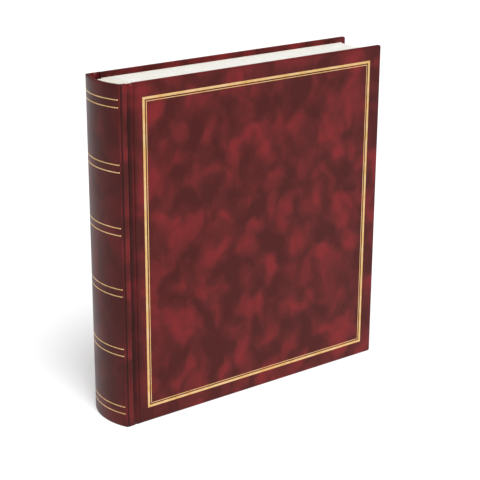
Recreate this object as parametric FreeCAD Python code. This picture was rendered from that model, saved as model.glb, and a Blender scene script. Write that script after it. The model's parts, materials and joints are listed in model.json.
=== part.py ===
import FreeCAD, Part
import math
import os

# A bound stock album for stamps. Millimetres.
# Modelled with x = 0 at the spine's edge, y = 0 on the front cover's face and z = 0 on the tail edge,
# then moved so that the origin lies at the middle of the footprint.

# Outside of the case
album_height = 315.0
cover_width = 292.0
album_thickness = 55.2
spine_round = 7.0
spine_spans = 8

# Boards and their leatherette
board_thickness = 2.6
spine_board_thickness = 2.0
leatherette = 0.5
turn_in = 15.0
spine_turn_in = 12.0
glue_line = 0.12
edge_radius = 1.2
inner_edge_radius = 0.8
corner_radius = 2.0
spine_rim_bevel = 0.5

# Hinge between the spine's shoulder and the board
shoulder_width = 7.0
groove_width = 6.0
groove_lip = 1.1
groove_sag = 0.8
joint_leatherette = 0.6
crease_inset = 1.2
crease_width = 0.9
crease_depth = 0.3

# Gold foil
foil_depth = 0.1
frame_head_inset = 13.3
frame_fore_inset = 13.5
frame_hinge_inset = 9.0
frame_outer_line = 2.3
frame_gap = 1.2
frame_inner_line = 0.7
band_count = 6
band_pitch = 56.5
band_pair_spacing = 6.7
band_line = 1.0
band_end_inset = 1.6

# Endpapers
pastedown_paper = 0.2
pastedown_inset = 5.0
flyleaf_paper = 0.3

# Page block
leaf_count = 20
head_square = 5.6
fore_square = 5.5
card_thickness = 1.2
page_clearance = 0.25
lining_thickness = 0.8
lining_inset = 2.2
stub_width = 6.0
guard_linen = 0.4
guard_flex = 10.0
guard_grip = 8.0

# Glassine pockets and interleaves
pocket_rows = 8
pocket_height = 31.0
pocket_film = 0.15
pocket_tail_margin = 8.0
pocket_head_margin = 8.0
pocket_spine_margin = 13.0
pocket_fore_margin = 6.0
interleaf_film = 0.12
interleaf_tip = 1.0
interleaf_foot = 4.0
interleaf_rise = 6.0
interleaf_margin = 2.0

# Case positions
board_hinge_edge = shoulder_width + groove_width
cover_depth = 2 * leatherette + board_thickness
inner_face = cover_depth + pastedown_paper
spine_inside = leatherette + spine_board_thickness + 2 * glue_line
board_tail = leatherette
board_head = album_height - leatherette
board_fore = cover_width - leatherette

# Block positions
block_tail = head_square
block_head = album_height - head_square
block_fore = cover_width - fore_square
lining_face = lining_inset + lining_thickness
stub_edge = lining_face + stub_width
leaf_edge = stub_edge + guard_flex
flyleaf_front = inner_face + page_clearance
stubs_front = flyleaf_front + flyleaf_paper
stubs_back = album_thickness - stubs_front
leaf_pitch = (stubs_back - stubs_front - page_clearance) / leaf_count
film_gap = (leaf_pitch - card_thickness - 2 * pocket_film - interleaf_film) / 2


def leaf_middle(number):
    """Distance from the front face to the middle of a leaf's card."""
    front = stubs_front + page_clearance + interleaf_film + film_gap + pocket_film
    return front + card_thickness / 2 + leaf_pitch * (number - 1)


def block(x0, x1, y0, y1, z0, z1):
    return Part.makeBox(x1 - x0, y1 - y0, z1 - z0, FreeCAD.Vector(x0, y0, z0))


def prism(edges, z0, z1):
    """The solid over a closed outline drawn in plan, from one height to another."""
    face = Part.Face(Part.Wire(Part.__sortEdges__(edges)))
    face.translate(FreeCAD.Vector(0, 0, z0))
    return face.extrude(FreeCAD.Vector(0, 0, z1 - z0))


def plan_line(a, b):
    return Part.LineSegment(FreeCAD.Vector(*a, 0), FreeCAD.Vector(*b, 0)).toShape()


def plan_arc(a, through, b):
    ends = [FreeCAD.Vector(*point, 0) for point in (a, through, b)]
    return Part.Arc(*ends).toShape()


def outline(points):
    return [plan_line(a, b) for a, b in zip(points, points[1:] + points[:1])]


def to_back(shape):
    """The same piece on the other side of the block."""
    middle = FreeCAD.Vector(0, album_thickness / 2, 0)
    return shape.mirror(middle, FreeCAD.Vector(0, 1, 0))


def runs_along_y(edge):
    a, b = (vertex.Point for vertex in edge.Vertexes)
    return abs(b.y - a.y) > max(abs(b.x - a.x), abs(b.z - a.z))


def spine_body(inset, end, z0, z1):
    """The space inside the spine at a depth below its skin: a round back and shoulders that end flat.

    The back is one circle drawn as short arcs that meet at the same angles at every depth.
    """
    half = album_thickness / 2
    radius = (half ** 2 + spine_round ** 2) / (2 * spine_round)
    centre = radius - spine_round
    outer_angle = math.asin(half / radius)
    last_angle = math.asin((half - inset) / (radius - inset))
    inner = [outer_angle * (2 * span / spine_spans - 1) for span in range(1, spine_spans)]
    angles = [-last_angle] + inner + [last_angle]

    def on_back(angle):
        x = centre - (radius - inset) * math.cos(angle)
        return x, half + (radius - inset) * math.sin(angle)

    rim = [
        plan_arc(on_back(a), on_back((a + b) / 2), on_back(b)) for a, b in zip(angles, angles[1:])
    ]
    front, back = on_back(-last_angle), on_back(last_angle)
    rim += [
        plan_line(back, (end, album_thickness - inset)),
        plan_line((end, album_thickness - inset), (end, inset)),
        plan_line((end, inset), front),
    ]
    return prism(rim, z0, z1)


def spine_shell():
    """Outer skin of the spine with rounded edges, bevelled rims and a pressed crease beside each edge."""
    skin = spine_body(0, shoulder_width, 0, album_height)
    uprights = [edge for edge in skin.Edges if edge.BoundBox.ZLength > album_height / 2]
    skin = skin.makeFillet(edge_radius, uprights)
    rims = [
        edge
        for edge in skin.Edges
        if edge.BoundBox.ZLength < 1e-3 and edge.BoundBox.XMin < shoulder_width - 1e-3
    ]
    skin = skin.makeChamfer(spine_rim_bevel, rims)
    crease = prism(
        outline([
            (crease_inset - crease_width / 2, -crease_depth),
            (crease_inset + crease_width / 2, -crease_depth),
            (crease_inset, crease_depth),
        ]),
        0,
        album_height,
    )
    return skin.cut([crease, to_back(crease)])


def spine_board():
    """Stiffener with a glue line between it and the leatherette all round."""
    face = leatherette + glue_line
    end = shoulder_width - face
    stiffener = spine_body(face, end, face, album_height - face)
    return stiffener.cut(spine_body(face + spine_board_thickness, shoulder_width, 0, album_height))


def spine_sleeve():
    """The space that the spine board and its glue fill inside the leatherette."""
    outer = spine_body(leatherette, shoulder_width - leatherette, board_tail, board_head)
    return outer.cut(spine_body(spine_inside, shoulder_width, board_tail, board_head))


def spine_bands(depth):
    """Lines in pairs, evenly about the middle of the spine, this deep below its face."""
    middle = album_height / 2
    lines = []
    for pair in range(band_count):
        level = middle + (pair - (band_count - 1) / 2) * band_pitch
        for side in (-0.5, 0.5):
            tail = level + side * band_pair_spacing - band_line / 2
            face = spine_body(0, shoulder_width, tail, tail + band_line)
            under = spine_body(depth, shoulder_width, tail, tail + band_line)
            across = block(
                -spine_round, 0,
                band_end_inset, album_thickness - band_end_inset,
                tail, tail + band_line,
            )
            lines.append(face.cut(under).common(across))
    return Part.makeCompound([solid for line in lines for solid in line.Solids])


def spine_covering():
    tongue = spine_body(spine_inside + leatherette, shoulder_width + 1, 0, album_height)
    between = spine_body(
        spine_inside, shoulder_width + 1, spine_turn_in, album_height - spine_turn_in
    )
    stamped = spine_bands(foil_depth + glue_line)
    return spine_shell().cut([spine_sleeve(), tongue, between, stamped])


def joint_strip():
    """Leatherette pressed down between the shoulder and the board."""
    left, right = shoulder_width, board_hinge_edge
    middle = (left + right) / 2
    top, under = groove_lip, groove_lip + joint_leatherette
    section = [
        plan_arc((left, top), (middle, top + groove_sag), (right, top)),
        plan_line((right, top), (right, under)),
        plan_arc((right, under), (middle, under + groove_sag), (left, under)),
        plan_line((left, under), (left, top)),
    ]
    return prism(section, 0, album_height)


def cover_board():
    return block(
        board_hinge_edge + leatherette, board_fore,
        leatherette, leatherette + board_thickness,
        board_tail, board_head,
    )


def cover_skin():
    """Leatherette round a board: rounded edges, turned in over the head, tail and fore-edge."""
    slab = block(board_hinge_edge, cover_width, 0, cover_depth, 0, album_height)
    corners = [
        edge for edge in slab.Edges if runs_along_y(edge) and edge.BoundBox.XMin > cover_width / 2
    ]
    slab = slab.makeFillet(corner_radius, corners)
    outer = [edge for edge in slab.Edges if edge.BoundBox.YMax < 1e-3]
    slab = slab.makeFillet(edge_radius, outer)
    inner = [edge for edge in slab.Edges if edge.BoundBox.YMin > cover_depth - 1e-3]
    inner = [edge for edge in inner if edge.BoundBox.XMax > board_hinge_edge + 1e-3]
    slab = slab.makeFillet(inner_edge_radius, inner)
    window = block(
        board_hinge_edge, cover_width - turn_in,
        cover_depth - leatherette, cover_depth,
        turn_in, album_height - turn_in,
    )
    return slab.cut([cover_board(), window])


def rectangle_line(inset, width):
    """One line of the gold frame, let into the front skin."""
    x0 = board_hinge_edge + frame_hinge_inset + inset
    x1 = cover_width - frame_fore_inset - inset
    z0 = frame_head_inset + inset
    z1 = album_height - frame_head_inset - inset
    outer = block(x0, x1, 0, foil_depth, z0, z1)
    return outer.cut(block(x0 + width, x1 - width, 0, foil_depth, z0 + width, z1 - width))


def gilt_frame():
    inner_inset = frame_outer_line + frame_gap
    lines = [rectangle_line(0, frame_outer_line), rectangle_line(inner_inset, frame_inner_line)]
    return Part.makeCompound([solid for line in lines for solid in line.Solids])


def pastedown():
    """Paper over the inside of a board, lapping the turned-in leatherette."""
    lap = block(
        board_hinge_edge + leatherette, cover_width - pastedown_inset,
        cover_depth, inner_face,
        pastedown_inset, album_height - pastedown_inset,
    )
    fill = block(
        board_hinge_edge + leatherette, cover_width - turn_in,
        cover_depth - leatherette, cover_depth,
        turn_in, album_height - turn_in,
    )
    return lap.fuse(fill).removeSplitter()


def flyleaf():
    return block(leaf_edge, block_fore, flyleaf_front, stubs_front, block_tail, block_head)


def endpaper_fold():
    return block(lining_face, leaf_edge, flyleaf_front, stubs_front, block_tail, block_head)


def spine_lining():
    edge = spine_inside + leatherette
    return block(
        lining_inset, lining_face, edge, album_thickness - edge, block_tail, block_head
    )


def guard(number):
    """Linen from the lining, between two stubs and into the card."""
    middle = leaf_middle(number)
    return block(
        lining_face, leaf_edge + guard_grip,
        middle - guard_linen / 2, middle + guard_linen / 2,
        block_tail, block_head,
    )


def binding_stubs():
    """Card strips that fill the spine between one guard and the next."""
    faces = [stubs_front]
    for number in range(1, leaf_count + 1):
        faces += [leaf_middle(number) - guard_linen / 2, leaf_middle(number) + guard_linen / 2]
    faces.append(stubs_back)
    return [
        block(lining_face, stub_edge, front, back, block_tail, block_head)
        for front, back in zip(faces[0::2], faces[1::2])
    ]


def leaf_card(number):
    """Card leaf, split along its spine edge to take the guard."""
    middle = leaf_middle(number)
    card = block(
        leaf_edge, block_fore,
        middle - card_thickness / 2, middle + card_thickness / 2,
        block_tail, block_head,
    )
    return card.cut(guard(number))


def pocket_strips(number):
    """Rows of glassine strips on both faces of a leaf."""
    middle = leaf_middle(number)
    front = middle - card_thickness / 2
    back = middle + card_thickness / 2
    first = block_tail + pocket_tail_margin
    last = block_head - pocket_head_margin - pocket_height
    x0 = leaf_edge + pocket_spine_margin
    x1 = block_fore - pocket_fore_margin
    strips = []
    for row in range(pocket_rows):
        tail = first + (last - first) * row / (pocket_rows - 1)
        strips.append(block(x0, x1, front - pocket_film, front, tail, tail + pocket_height))
        strips.append(block(x0, x1, back, back + pocket_film, tail, tail + pocket_height))
    return strips


def interleaf(number):
    """Glassine sheet tipped to the leaf's margin and lying over its front pockets."""
    card_front = leaf_middle(number) - card_thickness / 2
    raised = card_front - pocket_film - film_gap
    path = [
        (leaf_edge + interleaf_tip, card_front),
        (leaf_edge + interleaf_tip + interleaf_foot, card_front),
        (leaf_edge + interleaf_tip + interleaf_foot + interleaf_rise, raised),
        (block_fore - interleaf_margin, raised),
    ]
    front_path = [(x, y - interleaf_film) for x, y in reversed(path)]
    return prism(
        outline(path + front_path), block_tail + interleaf_margin, block_head - interleaf_margin
    )


def save(name, shape):
    """Write one piece, with the origin at the middle of the album's footprint."""
    middle = FreeCAD.Vector((spine_round - cover_width) / 2, -album_thickness / 2, 0)
    placed = shape.copy()
    placed.translate(middle)
    placed.exportStep("parts/" + name + ".step")


def build():
    frame = gilt_frame()
    save("spine_board", spine_board())
    save("spine_covering", spine_covering())
    save("spine_gilt_bands", spine_bands(foil_depth))
    save("front_gilt_frame", frame)
    save("front_covering", cover_skin().cut(frame))
    save("back_covering", to_back(cover_skin()))
    for name, piece in (
        ("board", cover_board()),
        ("joint_strip", joint_strip()),
        ("pastedown", pastedown()),
        ("flyleaf", flyleaf()),
    ):
        save("front_" + name, piece)
        save("back_" + name, to_back(piece))
    save("endpaper_folds", Part.makeCompound([endpaper_fold(), to_back(endpaper_fold())]))
    save("spine_lining", spine_lining())
    save("binding_stubs", Part.makeCompound(binding_stubs()))
    numbers = range(1, leaf_count + 1)
    save("leaf_guards", Part.makeCompound([guard(number) for number in numbers]))
    for number in numbers:
        save("leaf_%02d" % number, leaf_card(number))
        films = pocket_strips(number) + [interleaf(number)]
        save("leaf_%02d_glassine" % number, Part.makeCompound(films))


os.makedirs("parts", exist_ok=True)
build()
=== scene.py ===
import json
import math

import bpy
import numpy as np
from mathutils import Matrix, Vector


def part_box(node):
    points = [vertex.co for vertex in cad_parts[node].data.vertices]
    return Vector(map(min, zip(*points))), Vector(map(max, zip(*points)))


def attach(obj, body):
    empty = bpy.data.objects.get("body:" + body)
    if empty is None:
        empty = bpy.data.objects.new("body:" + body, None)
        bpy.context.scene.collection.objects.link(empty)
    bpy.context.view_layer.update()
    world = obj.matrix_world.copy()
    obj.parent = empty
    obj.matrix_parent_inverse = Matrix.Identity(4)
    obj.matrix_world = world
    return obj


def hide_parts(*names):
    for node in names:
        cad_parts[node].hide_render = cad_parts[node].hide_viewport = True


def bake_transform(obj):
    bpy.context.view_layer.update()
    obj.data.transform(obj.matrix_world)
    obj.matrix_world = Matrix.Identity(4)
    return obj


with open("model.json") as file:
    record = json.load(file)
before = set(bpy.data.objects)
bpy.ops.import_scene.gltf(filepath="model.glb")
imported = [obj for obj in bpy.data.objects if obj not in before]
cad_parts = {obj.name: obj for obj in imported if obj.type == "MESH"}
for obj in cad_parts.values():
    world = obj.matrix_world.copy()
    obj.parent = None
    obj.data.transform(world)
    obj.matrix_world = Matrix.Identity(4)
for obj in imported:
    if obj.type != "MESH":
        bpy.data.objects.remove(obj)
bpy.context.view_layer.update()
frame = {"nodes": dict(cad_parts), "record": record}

MM = 0.001
LEAVES = sorted(name for name in frame["record"]["behaviour"]["bodies"] if name.startswith("leaf_"))

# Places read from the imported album, in metres
SPINE_LOW, SPINE_HIGH = (np.array(corner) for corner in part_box("spine_covering"))
STUBS_LOW, STUBS_HIGH = (np.array(corner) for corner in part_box("binding_stubs"))
LEAF_LOW, LEAF_HIGH = (np.array(corner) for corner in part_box("leaf_01"))
HEIGHT = SPINE_HIGH[2]
HALF_THICKNESS = SPINE_HIGH[1]
SHOULDER_END = SPINE_HIGH[0]
BOARD_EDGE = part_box("front_covering")[0][0]
BAND_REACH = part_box("spine_gilt_bands")[1][1]

# The round spine and its shoulders
SPINE_ROUND = 7.0 * MM
SPINE_WALL = 3.1 * MM
SHOULDER_START = SPINE_LOW[0] + SPINE_ROUND
SHOULDER_INSIDE = 2.6 * MM
EDGE_RADIUS = 1.2 * MM
RIM_RADIUS = 0.7 * MM
SPINE_RADIUS = (HALF_THICKNESS ** 2 + SPINE_ROUND ** 2) / (2 * SPINE_ROUND)
SPINE_CENTRE = SPINE_LOW[0] + SPINE_RADIUS
CREASE_INSET = 1.0 * MM
CREASE_HALF_WIDTH = 1.1 * MM
CREASE_DEPTH = 0.42 * MM

# Gold lines across the spine, in pairs
BAND_LINE = 1.0 * MM
BAND_PITCH = 56.5 * MM
BAND_SPACING = 6.7 * MM
BAND_PAIRS = 6
FOIL_PROUD = 0.04 * MM

# The pressed joints between spine and boards
JOINT_LEATHERETTE = 0.6 * MM
JOINT_OVERLAP = 0.5 * MM
GROOVE_LIP = 1.0 * MM
GROOVE_DEPTH = 2.9 * MM
GROOVE_DEEPEST = 0.35
GROOVE_END_SHARE = 0.35
GROOVE_EASE = 28.0 * MM

# Painted shade on the leatherette, from 0 to 1: in the joints' grooves, in the shoulders' creases, beside the
# boards' edges, and over the spine's back, which is also made less marbled
GROOVE_PAINTED_SHADE = 0.8
CREASE_PAINTED_SHADE = 0.9
CREASE_FADE_SHARE = 0.5
BOARD_EDGE_PAINTED_SHADE = 0.5
BOARD_EDGE_ONSET = 0.1
BOARD_EDGE_FADE = 6.0 * MM
SPINE_BACK_SHADE = 0.65

# Hinges of the leaves and the flyleaves
GUARD_LINEN = 0.4 * MM
GUARD_GRIP = 7.5 * MM
FOLD_PAPER = 0.3 * MM
FOLD_BOW = 1.2 * MM
FOLD_BOW_START = 1.5 * MM
HINGE_BEND = 3.5 * MM

# Glassine on the leaves: rows of pockets on both faces and an interleaf over the front ones
FILM = 0.1 * MM
FILM_GLUE = 0.05 * MM
POCKET_ROWS = 8
POCKET_HEIGHT = 31.0 * MM
POCKET_END_MARGIN = 8.0 * MM
POCKET_SPINE_MARGIN = 13.0 * MM
POCKET_FORE_MARGIN = 6.0 * MM
POCKET_OPENING = 0.2 * MM
INTERLEAF_TIP = 1.0 * MM
INTERLEAF_FOOT = 4.0 * MM
INTERLEAF_RISE = 6.0 * MM
INTERLEAF_MARGIN = 2.0 * MM
INTERLEAF_STAND_OFF = 0.5 * MM

# How finely the pieces are divided: points along a line, and levels from tail to head
ARC_POINTS = 61
SHOULDER_POINTS = 34
EDGE_POINTS = 7
RIM_LEVELS = 6
SPINE_LEVELS = 40
BAND_POINTS = 81
JOINT_POINTS = 33
JOINT_LEVELS = 64
STUB_POINTS = 4
BEND_POINTS = 22
GRIP_POINTS = 13
SHEET_LEVELS = 9
POCKET_POINTS = 9
POCKET_LEVELS = 5
RISE_POINTS = 9

# The photographed view: a pinhole camera, focal length in pixels of the square picture
PICTURE = 480
FOCAL_PIXELS = 1380.8
SENSOR = 36.0
CAMERA_AT = (-0.7373, -0.9830, 0.5712)
CAMERA_YAW = math.radians(37.017)
CAMERA_PITCH = math.radians(19.246)
CAMERA_ROLL = math.radians(-0.307)

# Studio light and floor
KEY_STRENGTH = 2.92
KEY_SPREAD = math.radians(32)
KEY_TOWARDS = (0.20, 0.51, -0.95)
SURROUND_STRENGTH = 0.28
FLOOR_LIFT = 0.17
FLOOR_REACH = 12.0


# Meshes

def piece(name, points, faces, material, smooth=True):
    """A mesh object at the origin from an array of points and an array of corner numbers."""
    mesh = bpy.data.meshes.new(name)
    mesh.from_pydata(np.asarray(points).tolist(), [], np.asarray(faces).tolist())
    mesh.polygons.foreach_set("use_smooth", np.full(len(mesh.polygons), smooth))
    mesh.materials.append(material)
    mesh.update()
    made = bpy.data.objects.new(name, mesh)
    bpy.context.collection.objects.link(made)
    return made


def mark(made, name, share):
    """Keep on each point a share from 0 to 1 of the shade painted into the leatherette there."""
    attribute = made.data.attributes.new(name, "FLOAT", "POINT")
    attribute.data.foreach_set("value", np.asarray(share, np.float32).ravel())


def smooth_step(share):
    """A share from 0 to 1, eased at both ends: three times its square less twice its cube."""
    return share * share * (3 - 2 * share)


def carried_loop(loops, levels):
    """A closed outline in plan carried up through a list of heights, with flat ends.

    The outline is one for all heights, or one for each. Its second half runs back along its first half,
    and strips between the two close the ends. The area that the outline goes round gives its sense, so
    that the faces point outwards either way.
    """
    levels = np.asarray(levels)
    rows, columns = len(levels), np.shape(loops)[-2]
    points = np.zeros((rows, columns, 3))
    points[:, :, :2] = loops
    points[:, :, 2] = levels[:, None]
    i, j = np.meshgrid(np.arange(rows - 1), np.arange(columns), indexing="ij")
    here, along = i * columns + j, i * columns + (j + 1) % columns
    walls = np.stack([here, along, along + columns, here + columns], -1).reshape(-1, 4)
    k = np.arange(columns // 2 - 1)
    tail = np.stack([k, k + 1, columns - 2 - k, columns - 1 - k], -1)
    faces = np.concatenate([walls, tail[:, ::-1], tail + (rows - 1) * columns])
    x, y = points[0, :, 0], points[0, :, 1]
    area = np.sum(x * np.roll(y, -1) - np.roll(x, -1) * y)
    return points.reshape(-1, 3), faces if area > 0 else faces[:, ::-1]


def joined(parts):
    """Several meshes as one array of points and one of faces."""
    all_points, all_faces = zip(*parts)
    starts = np.cumsum([0] + [len(points) for points in all_points[:-1]])
    moved = [faces + start for faces, start in zip(all_faces, starts)]
    return np.concatenate(all_points), np.concatenate(moved)


def normals_of(line):
    """Unit normals of a line in plan, a quarter turn to the left of its direction."""
    step = np.gradient(line, axis=0)
    normal = np.stack([-step[:, 1], step[:, 0]], -1)
    return normal / np.linalg.norm(normal, axis=1)[:, None]


def spine_arc(count, depth=0.0):
    """Points on the spine's round back, or at a depth below it: a circle's arc from front to back."""
    radius = SPINE_RADIUS - depth
    reach = math.asin((HALF_THICKNESS - depth) / radius)
    angle = np.linspace(-reach, reach, count)
    return np.stack([SPINE_CENTRE - radius * np.cos(angle), radius * np.sin(angle)], -1)


# Materials

def colour(code):
    """A written sRGB colour in linear values."""
    parts = [int(code[k:k + 2], 16) / 255 for k in (0, 2, 4)]
    return [p / 12.92 if p <= 0.04045 else ((p + 0.055) / 1.055) ** 2.4 for p in parts] + [1.0]


def grey(value):
    """A linear grey, also for a ramp that carries a plain number."""
    return [value, value, value, 1.0]


def start_material(name):
    """An empty material and its node tree."""
    material = bpy.data.materials.new(name)
    material.use_nodes = True
    material.node_tree.nodes.clear()
    return material, material.node_tree


def add(tree, kind, links=None, values=None, stops=(), **settings):
    """Add a node with its settings, its sockets' values and links, and the stops of its ramp."""
    node = tree.nodes.new("ShaderNode" + kind)
    for key, value in settings.items():
        setattr(node, key, value)
    for key, value in (values or {}).items():
        node.inputs[key].default_value = value
    for key, socket in (links or {}).items():
        tree.links.new(socket, node.inputs[key])
    for k, (place, tint) in enumerate(stops):
        elements = node.color_ramp.elements
        element = elements[k] if k < len(elements) else elements.new(place)
        element.position = place
        element.color = tint
    return node


def marbled_leatherette():
    """Printed and calendered leatherette: crumpled clouds of bright red between brown burgundy veins.

    The eye gets a smooth, faintly pored face with a low sheen. Shade is painted into it: darker in the joints'
    grooves, in the shoulders' creases and beside the boards' edges, and darker and less marbled over the
    spine's back.
    """
    drift_size, drift_push = 36 * MM, 36 * MM
    cloud_size, vein_size = 23 * MM, 20 * MM
    pore_size, rub_size = 0.9 * MM, 45 * MM
    print_slant, print_stretch = math.radians(-32), 0.82
    vein_share, vein_level = -0.42, 0.17
    material, tree = start_material("marbled_leatherette")
    place = add(tree, "TexCoord").outputs["Object"]
    slant = add(
        tree, "Mapping", {"Vector": place},
        {"Rotation": (0.0, print_slant, 0.0), "Scale": (1.0, 1.0, print_stretch)},
    ).outputs["Vector"]
    drift = add(
        tree, "TexNoise", {"Vector": slant}, {"Scale": 1 / drift_size, "Detail": 2.0, "Roughness": 0.5},
    ).outputs["Color"]
    swirl = add(
        tree, "VectorMath", {0: drift}, {1: (0.5, 0.5, 0.5)}, operation="SUBTRACT",
    ).outputs["Vector"]
    pushed = add(
        tree, "VectorMath", {0: swirl, 2: slant}, {1: (drift_push,) * 3}, operation="MULTIPLY_ADD",
    ).outputs["Vector"]
    clouds = add(
        tree, "TexNoise", {"Vector": pushed}, {"Scale": 1 / cloud_size, "Detail": 2.5, "Roughness": 0.45},
    ).outputs["Fac"]
    cells = add(
        tree, "TexVoronoi", {"Vector": pushed}, {"Scale": 1 / vein_size, "Smoothness": 0.6},
        feature="SMOOTH_F1",
    ).outputs["Distance"]
    veins = add(
        tree, "Math", {0: cells}, {1: vein_share, 2: vein_level}, operation="MULTIPLY_ADD",
    ).outputs["Value"]
    tone = add(tree, "Math", {0: clouds, 1: veins}, operation="ADD").outputs["Value"]
    print_stops = [
        (0.32, colour("4C110E")), (0.44, colour("5A1817")),
        (0.54, colour("6A1C1D")), (0.70, colour("7F2023")),
    ]
    printed = add(tree, "ValToRGB", {"Fac": tone}, stops=print_stops).outputs["Color"]
    # Painted shade: where the plain attribute is set, over the spine's back, the print is mixed toward a plain
    # dark red, so the spine reads darker and less marbled than the boards
    plain = add(tree, "Attribute", attribute_name="plain").outputs["Fac"]
    spine_back_shaded = add(
        tree, "Mix", {"Factor": plain, 6: printed}, {7: colour("400E0D")}, data_type="RGBA",
    ).outputs[2]
    # Painted shade: a dark band beside each board's edge, next to the groove, fading out onto the board
    across = add(tree, "SeparateXYZ", {"Vector": place}).outputs["X"]
    from_hinge = add(
        tree, "MapRange", {"Value": across},
        {
            "From Min": BOARD_EDGE - BOARD_EDGE_ONSET * BOARD_EDGE_FADE,
            "From Max": BOARD_EDGE + BOARD_EDGE_FADE,
        },
    ).outputs["Result"]
    edge_stops = [(0.0, grey(0.0)), (BOARD_EDGE_ONSET, grey(BOARD_EDGE_PAINTED_SHADE)), (1.0, grey(0.0))]
    board_edge_shade = add(tree, "ValToRGB", {"Fac": from_hinge}, stops=edge_stops).outputs["Color"]
    # Painted shade: the pressed attribute darkens the groove and the shoulders' creases, and together with the
    # band beside the board's edge it mixes the leatherette toward a near-black red
    pressed = add(tree, "Attribute", attribute_name="pressed").outputs["Fac"]
    painted_shade = add(tree, "Math", {0: pressed, 1: board_edge_shade}, operation="MAXIMUM").outputs["Value"]
    shaded_leatherette = add(
        tree, "Mix", {"Factor": painted_shade, 6: spine_back_shaded}, {7: colour("260A09")}, data_type="RGBA",
    ).outputs[2]
    rubbed = add(
        tree, "TexNoise", {"Vector": place}, {"Scale": 1 / rub_size, "Detail": 3.0},
    ).outputs["Fac"]
    sheen_stops = [(0.3, grey(0.36)), (0.7, grey(0.46))]
    sheen = add(tree, "ValToRGB", {"Fac": rubbed}, stops=sheen_stops).outputs["Color"]
    pores = add(
        tree, "TexVoronoi", {"Vector": place}, {"Scale": 1 / pore_size}, feature="SMOOTH_F1",
    ).outputs["Distance"]
    grain = add(
        tree, "Bump", {"Height": pores}, {"Strength": 0.10, "Distance": 0.05 * MM},
    ).outputs["Normal"]
    surface = add(
        tree, "BsdfPrincipled", {"Base Color": shaded_leatherette, "Roughness": sheen, "Normal": grain},
        {"IOR": 1.5, "Specular IOR Level": 0.18},
    ).outputs["BSDF"]
    add(tree, "OutputMaterial", {"Surface": surface})
    return material


def stamped_gold_foil():
    """Hot-stamped gold foil: bright metal, a little uneven where the stamp pressed."""
    press_size, grain_size = 9 * MM, 1.2 * MM
    material, tree = start_material("stamped_gold_foil")
    place = add(tree, "TexCoord").outputs["Object"]
    press = add(
        tree, "TexNoise", {"Vector": place}, {"Scale": 1 / press_size, "Detail": 3.0},
    ).outputs["Fac"]
    gold_stops = [(0.3, colour("DDAF66")), (0.7, colour("F3D09C"))]
    gold = add(tree, "ValToRGB", {"Fac": press}, stops=gold_stops).outputs["Color"]
    sheen_stops = [(0.3, grey(0.34)), (0.7, grey(0.46))]
    sheen = add(tree, "ValToRGB", {"Fac": press}, stops=sheen_stops).outputs["Color"]
    cloth = add(
        tree, "TexNoise", {"Vector": place}, {"Scale": 1 / grain_size, "Detail": 2.0},
    ).outputs["Fac"]
    grain = add(
        tree, "Bump", {"Height": cloth}, {"Strength": 0.12, "Distance": 0.05 * MM},
    ).outputs["Normal"]
    surface = add(
        tree, "BsdfPrincipled", {"Base Color": gold, "Roughness": sheen, "Normal": grain},
        {"Metallic": 1.0},
    ).outputs["BSDF"]
    add(tree, "OutputMaterial", {"Surface": surface})
    return material


def fibred_paper(name, dark, light, fibre_size, roughness):
    """Uncoated paper, card or board: a faint cloud of fibres in tone and in height."""
    cloud_size = 12 * MM
    material, tree = start_material(name)
    place = add(tree, "TexCoord").outputs["Object"]
    clouds = add(
        tree, "TexNoise", {"Vector": place}, {"Scale": 1 / cloud_size, "Detail": 4.0, "Roughness": 0.6},
    ).outputs["Fac"]
    tone_stops = [(0.3, colour(dark)), (0.7, colour(light))]
    tone = add(tree, "ValToRGB", {"Fac": clouds}, stops=tone_stops).outputs["Color"]
    fibres = add(
        tree, "TexNoise", {"Vector": place}, {"Scale": 1 / fibre_size, "Detail": 3.0},
    ).outputs["Fac"]
    felt = add(
        tree, "Bump", {"Height": fibres}, {"Strength": 0.15, "Distance": 0.05 * MM},
    ).outputs["Normal"]
    surface = add(
        tree, "BsdfPrincipled", {"Base Color": tone, "Normal": felt},
        {"Roughness": roughness, "IOR": 1.5, "Specular IOR Level": 0.25},
    ).outputs["BSDF"]
    add(tree, "OutputMaterial", {"Surface": surface})
    return material


def book_linen():
    """White book linen: a plain matt weave. Its threads are drawn coarser than life so that they show."""
    thread = 0.9 * MM
    # A wave texture's bands repeat every 2 pi / 20 of its scaled length
    weave_scale = 2 * math.pi / (20 * thread)
    material, tree = start_material("book_linen")
    place = add(tree, "TexCoord").outputs["Object"]
    warp, weft = (
        add(
            tree, "TexWave", {"Vector": place}, {"Scale": weave_scale, "Distortion": 0.4, "Detail": 1.0},
            bands_direction=way,
        ).outputs["Fac"]
        for way in ("X", "Z")
    )
    weave = add(tree, "Math", {0: warp, 1: weft}, operation="MULTIPLY").outputs["Value"]
    tone_stops = [(0.0, colour("D8D3C4")), (1.0, colour("F1EEE4"))]
    tone = add(tree, "ValToRGB", {"Fac": weave}, stops=tone_stops).outputs["Color"]
    threads = add(
        tree, "Bump", {"Height": weave}, {"Strength": 0.4, "Distance": 0.1 * MM},
    ).outputs["Normal"]
    surface = add(
        tree, "BsdfPrincipled", {"Base Color": tone, "Normal": threads},
        {"Roughness": 0.85, "IOR": 1.5, "Specular IOR Level": 0.2},
    ).outputs["BSDF"]
    add(tree, "OutputMaterial", {"Surface": surface})
    return material


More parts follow.
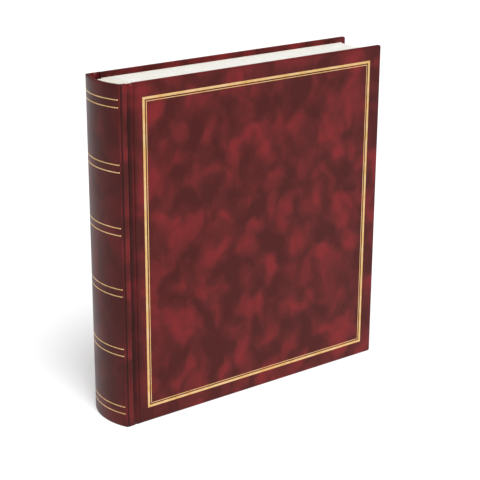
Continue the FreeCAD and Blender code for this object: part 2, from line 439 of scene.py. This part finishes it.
def glassine_film():
    """Calendered glassine: a smooth milky film that lets some of the card show through."""
    haze_size = 25 * MM
    material, tree = start_material("glassine_film")
    place = add(tree, "TexCoord").outputs["Object"]
    haze = add(
        tree, "TexNoise", {"Vector": place}, {"Scale": 1 / haze_size, "Detail": 3.0},
    ).outputs["Fac"]
    tone_stops = [(0.3, colour("FAFAF5")), (0.7, colour("FDFDF9"))]
    tone = add(tree, "ValToRGB", {"Fac": haze}, stops=tone_stops).outputs["Color"]
    sheen_stops = [(0.3, grey(0.34)), (0.7, grey(0.40))]
    sheen = add(tree, "ValToRGB", {"Fac": haze}, stops=sheen_stops).outputs["Color"]
    surface = add(
        tree, "BsdfPrincipled", {"Base Color": tone, "Roughness": sheen},
        {"IOR": 1.48, "Specular IOR Level": 0.3, "Alpha": 0.6},
    ).outputs["BSDF"]
    add(tree, "OutputMaterial", {"Surface": surface})
    return material


def white_sweep():
    """A matt painted sweep that keeps the album's shadow: white to the camera, to metal and through film."""
    material, tree = start_material("white_sweep")
    rays = add(tree, "LightPath").outputs
    seen = add(
        tree, "Math", {0: rays["Is Camera Ray"], 1: rays["Is Glossy Ray"]}, operation="MAXIMUM",
    ).outputs["Value"]
    seen = add(
        tree, "Math", {0: seen, 1: rays["Is Transmission Ray"]}, operation="MAXIMUM",
    ).outputs["Value"]
    lift = add(tree, "Math", {0: seen}, {1: FLOOR_LIFT}, operation="MULTIPLY").outputs["Value"]
    surface = add(
        tree, "BsdfPrincipled", {"Emission Strength": lift},
        {
            "Base Color": colour("F4F4F4"), "Roughness": 0.9, "Specular IOR Level": 0.0,
            "Emission Color": grey(1.0),
        },
    ).outputs["BSDF"]
    add(tree, "OutputMaterial", {"Surface": surface})
    return material


# Pieces

def spine_leatherette(material):
    """Leatherette over the round spine, its shoulders and their rounded ends, turned in at head and tail.

    The section runs from inside the front shoulder, round its end, along the shoulder with a pressed
    crease, across the back's arc and the same way round the back shoulder. Near the head and the tail the
    outside line is drawn in along a quarter circle.
    """
    turn = np.linspace(0, math.pi / 2, EDGE_POINTS)
    end_arc = np.stack([
        SHOULDER_END - EDGE_RADIUS + EDGE_RADIUS * np.cos(turn),
        -HALF_THICKNESS + EDGE_RADIUS - EDGE_RADIUS * np.sin(turn),
    ], -1)
    flat_x = np.linspace(SHOULDER_END - EDGE_RADIUS, SHOULDER_START, SHOULDER_POINTS)[1:-1]
    crease_x = SHOULDER_START + CREASE_INSET
    press = np.clip(1 - np.abs(flat_x - crease_x) / CREASE_HALF_WIDTH, 0, 1)
    flat = np.stack([flat_x, -HALF_THICKNESS + CREASE_DEPTH * smooth_step(press)], -1)
    end_foot = np.array([[SHOULDER_END, -HALF_THICKNESS + SHOULDER_INSIDE]])
    front = np.concatenate([end_foot, end_arc, flat])
    outside = np.concatenate([front, spine_arc(ARC_POINTS), front[::-1] * (1, -1)])
    outward = normals_of(outside)
    inner_arc = spine_arc(ARC_POINTS, SPINE_WALL)
    inner_x = np.linspace(SHOULDER_END, inner_arc[0, 0], len(front) + 1)[:-1]
    inner_front = np.stack([inner_x, np.full(len(front), SPINE_WALL - HALF_THICKNESS)], -1)
    inside_line = np.concatenate([inner_front, inner_arc, inner_front[::-1] * (1, -1)])
    curl = np.linspace(0, math.pi / 2, RIM_LEVELS)
    rise = RIM_RADIUS * (1 - np.cos(curl))
    drawn = RIM_RADIUS * (1 - np.sin(curl))
    body = np.linspace(RIM_RADIUS, HEIGHT - RIM_RADIUS, SPINE_LEVELS)[1:-1]
    levels = np.concatenate([rise, body, HEIGHT - rise[::-1]])
    inset = np.concatenate([drawn, np.zeros(len(body)), drawn[::-1]])
    outer = outside - outward * inset[:, None, None]
    inner = np.broadcast_to(inside_line, outer.shape)
    loops = np.concatenate([outer, inner[:, ::-1]], axis=1)
    made = piece("spine_leatherette", *carried_loop(loops, levels), material)
    # Painted shade in the shoulders' creases, kept in the pressed attribute for the material
    from_crease = np.abs(outside[:, 0] - crease_x) / CREASE_HALF_WIDTH
    on_shoulder = np.abs(outside[:, 1]) > HALF_THICKNESS - CREASE_DEPTH - EDGE_RADIUS
    darkened = np.clip((1 - from_crease) / CREASE_FADE_SHARE, 0, 1) * CREASE_PAINTED_SHADE
    pressed = np.where(on_shoulder, darkened, 0)
    # Painted shade over the spine's back between the shoulders, kept in the plain attribute: the material
    # makes it darker and less marbled
    plain = np.where(on_shoulder, 0, SPINE_BACK_SHADE)
    mark(made, "pressed", np.broadcast_to(np.concatenate([pressed, pressed[::-1]]), loops.shape[:2]))
    mark(made, "plain", np.broadcast_to(np.concatenate([plain, plain[::-1]]), loops.shape[:2]))
    return made


def spine_gold_lines(material):
    """Gold lines in pairs: each a narrow strip of the spine's arc, from just under to just proud of it."""
    line = spine_arc(BAND_POINTS)
    line = line[np.abs(line[:, 1]) <= BAND_REACH]
    outward = (line - [SPINE_CENTRE, 0]) / SPINE_RADIUS
    loop = np.concatenate([line + outward * FOIL_PROUD, (line - outward * FOIL_PROUD)[::-1]])
    pairs = (np.arange(BAND_PAIRS) - (BAND_PAIRS - 1) / 2) * BAND_PITCH
    levels = (pairs[:, None] + np.array([-0.5, 0.5]) * BAND_SPACING).ravel() + HEIGHT / 2
    strips = [carried_loop(loop, (level - BAND_LINE / 2, level + BAND_LINE / 2)) for level in levels]
    return piece("spine_gold_lines", *joined(strips), material)


def joint_leatherette(name, side, material):
    """Leatherette pressed into the groove: a valley between the shoulder's end and the board's edge.

    The section falls along half a cosine beside the shoulder and rises along a longer one to the board.
    Its depth eases towards the tail and the head, where the turned-in layer fills the groove.
    """
    x = np.linspace(SHOULDER_END - JOINT_OVERLAP, BOARD_EDGE + JOINT_OVERLAP, JOINT_POINTS)
    across = (x - SHOULDER_END) / (BOARD_EDGE - SHOULDER_END)
    steep = np.clip(across / GROOVE_DEEPEST, 0, 1)
    gentle = np.clip((1 - across) / (1 - GROOVE_DEEPEST), 0, 1)
    fall = (1 - np.cos(math.pi * np.minimum(steep, gentle))) / 2
    dip = GROOVE_LIP + (GROOVE_DEPTH - GROOVE_LIP) * fall
    levels = np.linspace(0, HEIGHT, JOINT_LEVELS)
    from_end = np.minimum(levels, HEIGHT - levels)
    ease = GROOVE_END_SHARE + (1 - GROOVE_END_SHARE) * np.clip(from_end / GROOVE_EASE, 0, 1)
    depth = dip * ease[:, None]
    outer = np.stack([np.broadcast_to(x, depth.shape), -HALF_THICKNESS + depth], -1)
    inner = outer + [0, JOINT_LEATHERETTE]
    loops = np.concatenate([outer, inner[:, ::-1]], axis=1) * (1, side)
    made = piece(name, *carried_loop(loops, levels), material)
    # Painted shade in the groove, deepest where the groove is deepest and eased towards head and tail
    pressed = np.sqrt(fall) * ease[:, None] * GROOVE_PAINTED_SHADE
    mark(made, "pressed", np.concatenate([pressed, pressed[:, ::-1]], axis=1))
    return made


def hinge_sheet(name, end_x, middle_y, thickness, material, bow=0.0):
    """A limp sheet from the stubs to a leaf, closely divided over the short stretch where it bends.

    Beyond the stubs it may bow out of the leaf's plane and back, along the square of a sine.
    """
    bend_x = STUBS_HIGH[0]
    x = np.concatenate([
        np.linspace(STUBS_LOW[0], bend_x, STUB_POINTS),
        np.linspace(bend_x, bend_x + HINGE_BEND, BEND_POINTS)[1:],
        np.linspace(bend_x + HINGE_BEND, end_x, GRIP_POINTS)[1:],
    ])
    bow_x = bend_x + FOLD_BOW_START
    along = np.clip((x - bow_x) / (end_x - bow_x), 0, 1)
    middle = np.stack([x, middle_y + bow * np.sin(math.pi * along) ** 2], -1)
    half = normals_of(middle) * thickness / 2
    loop = np.concatenate([middle - half, (middle + half)[::-1]])
    levels = np.linspace(LEAF_LOW[2], LEAF_HIGH[2], SHEET_LEVELS)
    return piece(name, *carried_loop(loop, levels), material)


def pocket_strip(start_x, end_x, face_y, outward, tail):
    """A pocket's film, glued along its tail and at its ends, and standing off towards its open head edge.

    The stand-off is the glue's thickness, plus the opening times the square of the share of the height
    times half a sine wave along the leaf.
    """
    along, up = np.linspace(0, 1, POCKET_POINTS), np.linspace(0, 1, POCKET_LEVELS)
    gap = FILM_GLUE + POCKET_OPENING * up[:, None] ** 2 * np.sin(math.pi * along)
    x = np.broadcast_to(start_x + (end_x - start_x) * along, gap.shape)
    near = np.stack([x, face_y + outward * gap], -1)
    far = near + [0, outward * FILM]
    return carried_loop(np.concatenate([near, far[:, ::-1]], axis=1), tail + POCKET_HEIGHT * up)


def interleaf(low, high):
    """A glassine sheet tipped to a leaf's margin, easing out over the pockets along a smooth step."""
    rise_x = low[0] + INTERLEAF_TIP + INTERLEAF_FOOT
    x = np.concatenate([
        [low[0] + INTERLEAF_TIP],
        np.linspace(rise_x, rise_x + INTERLEAF_RISE, RISE_POINTS),
        [high[0] - INTERLEAF_MARGIN],
    ])
    share = np.clip((x - rise_x) / INTERLEAF_RISE, 0, 1)
    off = FILM_GLUE + (INTERLEAF_STAND_OFF - FILM_GLUE) * smooth_step(share)
    near = np.stack([x, low[1] - off], -1)
    loop = np.concatenate([near, (near - [0, FILM])[::-1]])
    return carried_loop(loop, (low[2] + INTERLEAF_MARGIN, high[2] - INTERLEAF_MARGIN))


def leaf_pockets(leaf, material):
    """All the film on one leaf: the pockets' rows on both faces of its card, and the interleaf."""
    low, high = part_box(leaf)
    tails = np.linspace(
        low[2] + POCKET_END_MARGIN, high[2] - POCKET_END_MARGIN - POCKET_HEIGHT, POCKET_ROWS
    )
    start_x, end_x = low[0] + POCKET_SPINE_MARGIN, high[0] - POCKET_FORE_MARGIN
    films = [interleaf(low, high)]
    for face_y, outward in ((low[1], -1), (high[1], 1)):
        films += [pocket_strip(start_x, end_x, face_y, outward, tail) for tail in tails]
    return piece(leaf + "_pockets", *joined(films), material, smooth=False)


def bend_between(made):
    """Bake a hinge piece's placement into its points; it is not tied to the spine or to a turning body."""
    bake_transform(made)


def dress_nodes(by_slot):
    """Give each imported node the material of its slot."""
    for entry in frame["record"]["subparts"]:
        node = frame["nodes"][entry["node"]]
        node.data.materials.clear()
        node.data.materials.append(by_slot[entry["material_slot"]])


def dress_binding(leatherette, gold):
    """The outside of the binding: spine, gold lines and the two pressed joints."""
    spine = spine_leatherette(leatherette)
    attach(spine, "spine")
    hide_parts("spine_covering")

    lines = spine_gold_lines(gold)
    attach(lines, "spine")
    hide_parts("spine_gilt_bands")

    for name, side in (("front", 1), ("back", -1)):
        joint = joint_leatherette(name + "_joint_leatherette", side, leatherette)
        bend_between(joint)
        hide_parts(name + "_joint_strip")


def dress_leaves(film):
    """The pockets and interleaf of each leaf."""
    for leaf in LEAVES:
        pockets = leaf_pockets(leaf, film)
        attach(pockets, leaf)
        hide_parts(leaf + "_glassine")


def hinge_leaves(linen, endpaper):
    """The leaves' linen guards, and the endpapers' folds, which hold the flyleaves."""
    for leaf in LEAVES:
        low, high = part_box(leaf)
        middle = (low[1] + high[1]) / 2
        end_x = low[0] + GUARD_GRIP
        guard = hinge_sheet(leaf + "_guard", end_x, middle, GUARD_LINEN, linen)
        bend_between(guard)
        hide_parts("leaf_guards")

    for name, towards_leaves in (("front", 1), ("back", -1)):
        low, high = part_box(name + "_flyleaf")
        middle = (low[1] + high[1]) / 2
        bow = FOLD_BOW * towards_leaves
        fold = hinge_sheet(name + "_endpaper_fold", low[0], middle, FOLD_PAPER, endpaper, bow)
        bend_between(fold)
        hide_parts("endpaper_folds")


def dress_album():
    """The album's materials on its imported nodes, and the pieces that stand in for the soft and thin ones."""
    leatherette = marbled_leatherette()
    gold = stamped_gold_foil()
    endpaper = fibred_paper("white_endpaper", "EFECE2", "F7F5EC", fibre_size=1.1 * MM, roughness=0.8)
    leaf_card = fibred_paper("white_leaf_card", "F9F8F0", "FEFDF8", fibre_size=0.8 * MM, roughness=0.7)
    greyboard = fibred_paper("grey_board", "8D887E", "A29C90", fibre_size=1.5 * MM, roughness=0.9)
    linen = book_linen()
    film = glassine_film()
    dress_nodes({
        "leatherette": leatherette,
        "gilt_foil": gold,
        "leaf_card": leaf_card,
        "endpaper": endpaper,
        "greyboard": greyboard,
        "linen": linen,
        "glassine": film,
    })
    dress_binding(leatherette, gold)
    dress_leaves(film)
    hinge_leaves(linen, endpaper)


# Setting

def lay_floor():
    """A flat white sweep, far larger than the view."""
    corners = FLOOR_REACH * np.array([(-1, -1, 0), (1, -1, 0), (1, 1, 0), (-1, 1, 0)])
    floor = piece("floor", corners, [(0, 1, 2, 3)], white_sweep(), smooth=False)


def light_studio():
    """One soft light from above, in front and a little to the spine side, and an even white surround."""
    sun = bpy.data.lights.new("soft_key", "SUN")
    sun.energy = KEY_STRENGTH
    sun.angle = KEY_SPREAD
    key = bpy.data.objects.new("soft_key", sun)
    key.rotation_euler = Vector(KEY_TOWARDS).to_track_quat("-Z", "Y").to_euler()
    bpy.context.collection.objects.link(key)
    world = bpy.data.worlds.new("white_surround")
    world.use_nodes = True
    surround = world.node_tree.nodes["Background"]
    surround.inputs["Color"].default_value = grey(1.0)
    surround.inputs["Strength"].default_value = SURROUND_STRENGTH
    bpy.context.scene.world = world


def aim_camera():
    """The photograph's viewing angle: yaw from the +Y axis, pitch down, and a slight roll."""
    lens = bpy.data.cameras.new("photo_camera")
    lens.sensor_width = SENSOR
    lens.lens = FOCAL_PIXELS / PICTURE * SENSOR
    cos_yaw, sin_yaw = math.cos(CAMERA_YAW), math.sin(CAMERA_YAW)
    cos_pitch, sin_pitch = math.cos(CAMERA_PITCH), math.sin(CAMERA_PITCH)
    ahead = Vector((sin_yaw * cos_pitch, cos_yaw * cos_pitch, -sin_pitch))
    level = Vector((cos_yaw, -sin_yaw, 0))
    down = ahead.cross(level)
    right = level * math.cos(CAMERA_ROLL) + down * math.sin(CAMERA_ROLL)
    up = level * math.sin(CAMERA_ROLL) - down * math.cos(CAMERA_ROLL)
    camera = bpy.data.objects.new("photo_camera", lens)
    turn = Matrix((right, up, -ahead)).transposed().to_4x4()
    camera.matrix_world = Matrix.Translation(CAMERA_AT) @ turn
    bpy.context.collection.objects.link(camera)
    bpy.context.scene.camera = camera


dress_album()
lay_floor()
light_studio()
aim_camera()
bpy.context.scene.view_settings.view_transform = "Standard"
